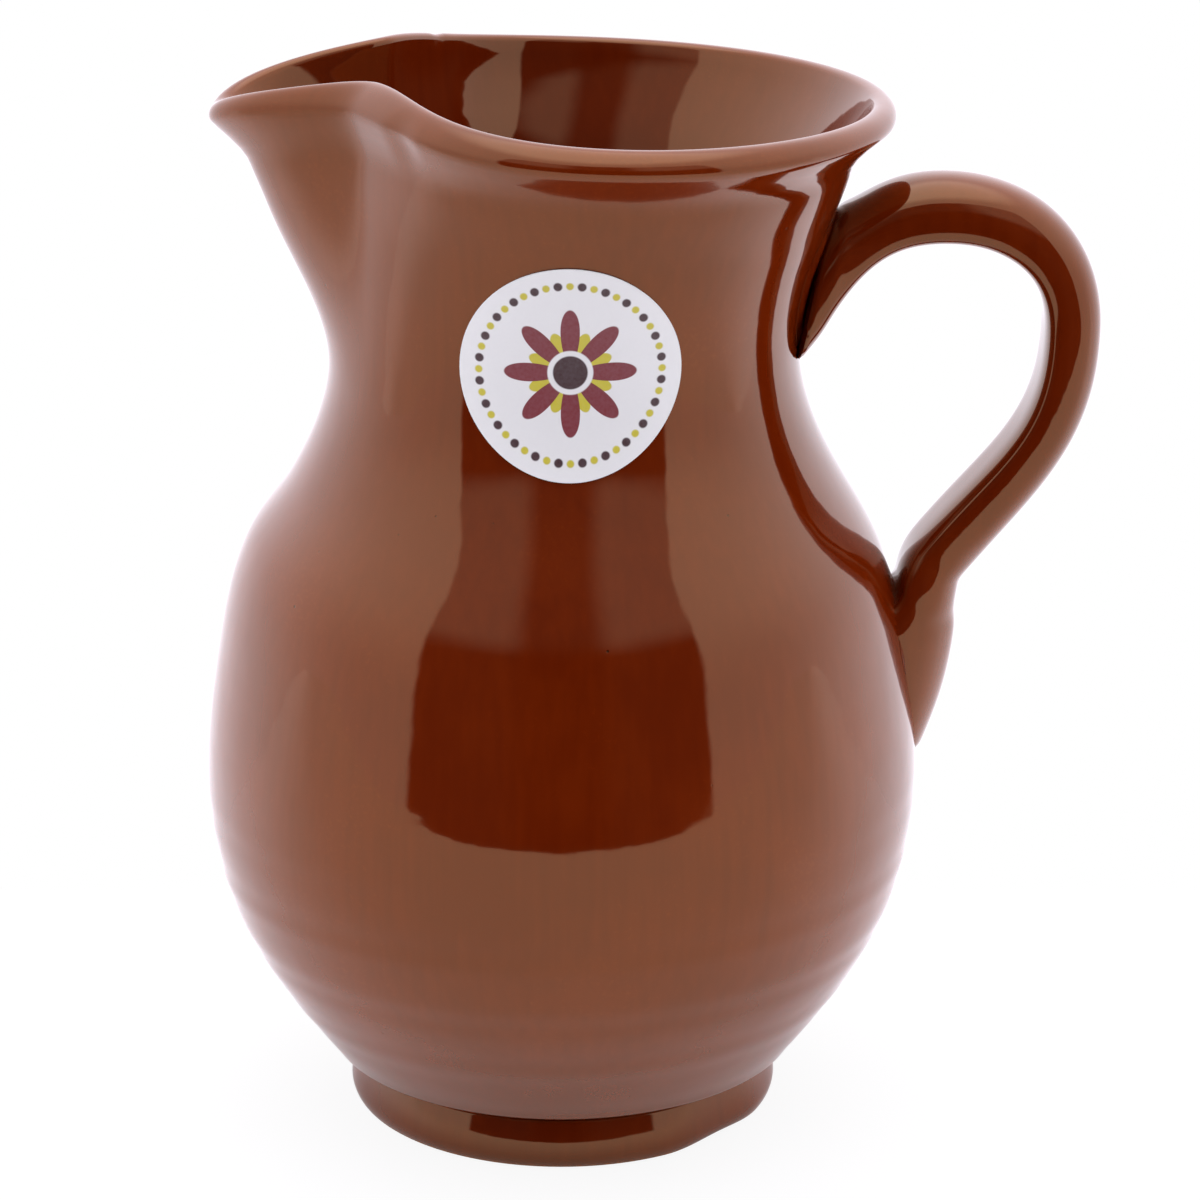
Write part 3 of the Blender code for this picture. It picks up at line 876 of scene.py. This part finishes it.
opening_half_width = radians(49)
opening_middle = radians(14)
opening_half_height = radians(32.5)
opening_squareness = 12
opening_blur = 0.25
room_dark = 0.01
room_sides = 0.03
room_ceiling = 0.08
ceiling_sides = 0.45
tent_upper = 1.66
tent_upper_back = 0.38
tent_roof = 1.2
tent_lower = 1.16
tent_lower_back = 0.42
tent_tint = (1.0, 0.975, 1.07, 1.0)
plain_tone = (1.0, 1.0, 1.0, 1.0)
world = bpy.data.worlds.new("white_tent")
bpy.context.scene.world = world
world.use_nodes = True
sky = Wire(world.node_tree)
direction = sky.node('ShaderNodeTexCoord', {}, {}, output="Generated")
east, north, zenith = direction.axes()
bearing_off = abs(sky.maths('ARCTAN2', east, 0.0 - north))
elevation = sky.maths('ARCSINE', zenith)
across_opening = (bearing_off / opening_half_width) ** opening_squareness
up_opening = (abs(elevation - opening_middle) / opening_half_height) ** opening_squareness
opening = (across_opening + up_opening).ramp(1 + opening_blur, 1 - opening_blur)
beside = bearing_off.ramp(radians(9), radians(22))
ceiling = elevation.ramp(radians(20), radians(30))
room = room_dark + beside * room_sides + ceiling * (room_ceiling + ceiling_sides * beside)
roof = elevation.ramp(radians(52), radians(68))
upper_wall = tent_upper + north * tent_upper_back + roof * tent_roof
lower_wall = tent_lower + north.ramp(-0.35, 0.45) * tent_lower_back
lowered = elevation.ramp(radians(32), 0.0)
tent_wall = upper_wall + lowered * (lower_wall - upper_wall)
light = tent_wall + opening * (room - tent_wall)
camera_ray = sky.node('ShaderNodeLightPath', {}, {}, output="Is Camera Ray")
tone = light + camera_ray * (1.0 - light)
colour = camera_ray.choose(tent_tint, plain_tone)
background = world.node_tree.nodes["Background"]
sky.tree.links.new(colour.socket, background.inputs["Color"])
sky.tree.links.new(tone.socket, background.inputs["Strength"])

camera_data = bpy.data.cameras.new("camera")
camera_data.sensor_width = 36.0
camera_data.lens = 121.62
camera = bpy.data.objects.new("camera", camera_data)
camera.location = (0.0075528, -0.75273, 0.34902)
camera.rotation_euler = (radians(90 - 18.17), 0.0, 0.0)
bpy.context.scene.collection.objects.link(camera)
bpy.context.scene.camera = camera
bpy.context.scene.view_settings.view_transform = 'Standard'
